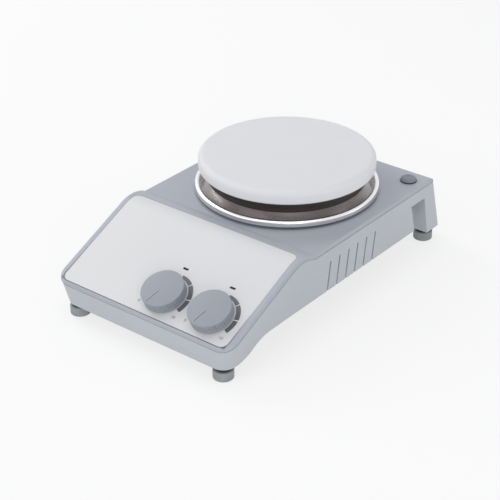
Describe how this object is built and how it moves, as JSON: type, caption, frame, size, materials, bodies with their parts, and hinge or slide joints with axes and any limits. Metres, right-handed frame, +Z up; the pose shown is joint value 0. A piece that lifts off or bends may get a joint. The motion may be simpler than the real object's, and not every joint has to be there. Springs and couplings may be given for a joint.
{
  "type": "hotplate magnetic stirrer",
  "caption": "Laboratory hotplate magnetic stirrer with a white round plate, polished drip ring, sloped panel with two grey dials, and an enamelled casing on rubber feet.",
  "frame": {"origin": "centre of the footprint, on the plane the rubber feet stand on", "axes": "+X to the right seen from the front, +Y to the rear, +Z up; the sloped control panel faces -Y"},
  "size_m": [0.1606, 0.268, 0.0888],
  "materials": {
    "enamelled_casting": "light blue-grey enamel, satin",
    "printed_overlay": "pale grey printed film, satin",
    "smoked_window": "smoked clear plastic",
    "knob_grey": "grey moulded plastic",
    "pointer_dark": "dark inlaid line",
    "plate_coating": "white ceramic coating on aluminium",
    "polished_steel": "polished stainless sheet",
    "dark_steel": "dark heat-tinted steel sheet",
    "turned_steel": "turned or rolled steel",
    "zinc_screws": "zinc-plated steel",
    "sheet_steel": "zinc-plated sheet",
    "grey_rubber": "grey-green moulded rubber",
    "cap_rubber": "grey moulded rubber",
    "black_plastic": "black glass-filled nylon",
    "dark_rubber": "black silicone",
    "circuit_board": "green glass-epoxy laminate",
    "board_parts": "dark moulded parts",
    "terminal_plastic": "green terminal strip",
    "brass_parts": "turned brass",
    "copper_winding": "enamelled copper wire",
    "copper_bars": "bare copper",
    "laminations": "stacked electrical steel",
    "ferrite": "dark ferrite",
    "mica": "mica and resistance tape",
    "fibre": "white fibre board",
    "ceramic_block": "unglazed white ceramic",
    "aluminium_parts": "pressed aluminium",
    "fuse_glass": "clear glass tube with metal ends",
    "lamp_green": "tinted lamp body"
  },
  "bodies": {
    "housing": {"top_casing": "enamelled_casting", "lower_casing": "enamelled_casting", "base_plate": "sheet_steel", "rubber_feet": "grey_rubber", "foot_screws": "zinc_screws", "casing_screws": "zinc_screws", "base_screws": "zinc_screws", "panel_overlay": "printed_overlay", "indicator_windows": "smoked_window", "indicator_lamps": "lamp_green", "heat_potentiometer": "aluminium_parts", "stir_potentiometer": "aluminium_parts", "potentiometer_nuts": "brass_parts", "control_board": "circuit_board", "board_capacitor": "board_parts", "board_transformer": "board_parts", "board_triac": "board_parts", "board_terminals": "terminal_plastic", "board_screws": "zinc_screws", "hotplate": "plate_coating", "heating_element": "mica", "insulation_disc": "fibre", "heater_cover": "dark_steel", "drip_ring": "polished_steel", "pillars": "turned_steel", "plate_screws": "zinc_screws", "lead_grommet": "dark_rubber", "heater_leads": "dark_rubber", "sensor_probe": "turned_steel", "terminal_block": "ceramic_block", "stator_core": "laminations", "shading_bars": "copper_bars", "coil_bobbin": "black_plastic", "motor_winding": "copper_winding", "upper_bracket": "sheet_steel", "lower_bracket": "sheet_steel", "upper_bush": "brass_parts", "lower_bush": "brass_parts", "motor_bolts": "zinc_screws", "bracket_screws": "zinc_screws", "inlet_housing": "black_plastic", "inlet_pins": "brass_parts", "fuse_holder": "black_plastic", "fuse_nut": "black_plastic", "switch_housing": "black_plastic", "socket_insert": "turned_steel"},
    "heat_dial": {"heat_knob": "knob_grey", "heat_pointer": "pointer_dark", "heat_shaft": "turned_steel"},
    "stir_dial": {"stir_knob": "knob_grey", "stir_pointer": "pointer_dark", "stir_shaft": "turned_steel"},
    "drive": {"rotor": "laminations", "spindle": "turned_steel", "magnet_carrier": "aluminium_parts", "drive_magnets": "ferrite"},
    "power_rocker": {"switch_rocker": "black_plastic"},
    "rod_cap": {"socket_cap": "cap_rubber"},
    "fuse_carrier": {"fuse_cap": "black_plastic", "fuse": "fuse_glass"}
  },
  "joints": [
    {"name": "heat_dial_turn", "type": "hinge", "parent": "housing", "child": "heat_dial", "pos_m": [0.0085, -0.11468, 0.03802], "axis": [0, 0.4115, -0.9114], "range_deg": [0, 280]},
    {"name": "stir_dial_turn", "type": "hinge", "parent": "housing", "child": "stir_dial", "pos_m": [0.0505, -0.11468, 0.03802], "axis": [0, 0.4115, -0.9114], "range_deg": [0, 280]},
    {"name": "drive_spin", "type": "hinge", "parent": "housing", "child": "drive", "pos_m": [0, 0.0335, 0.04], "axis": [0, 0, 1], "continuous": true},
    {"name": "power_rocker_tilt", "type": "hinge", "parent": "housing", "child": "power_rocker", "pos_m": [0.036, 0.1017, 0.034], "axis": [0, 0, -1], "range_deg": [0, 16]},
    {"name": "rod_cap_lift", "type": "slide", "parent": "housing", "child": "rod_cap", "axis": [0, 0, 1], "range_m": [0, 0.03]},
    {"name": "fuse_carrier_draw", "type": "slide", "parent": "housing", "child": "fuse_carrier", "axis": [0, 1, 0], "range_m": [0, 0.03]}
  ]
}
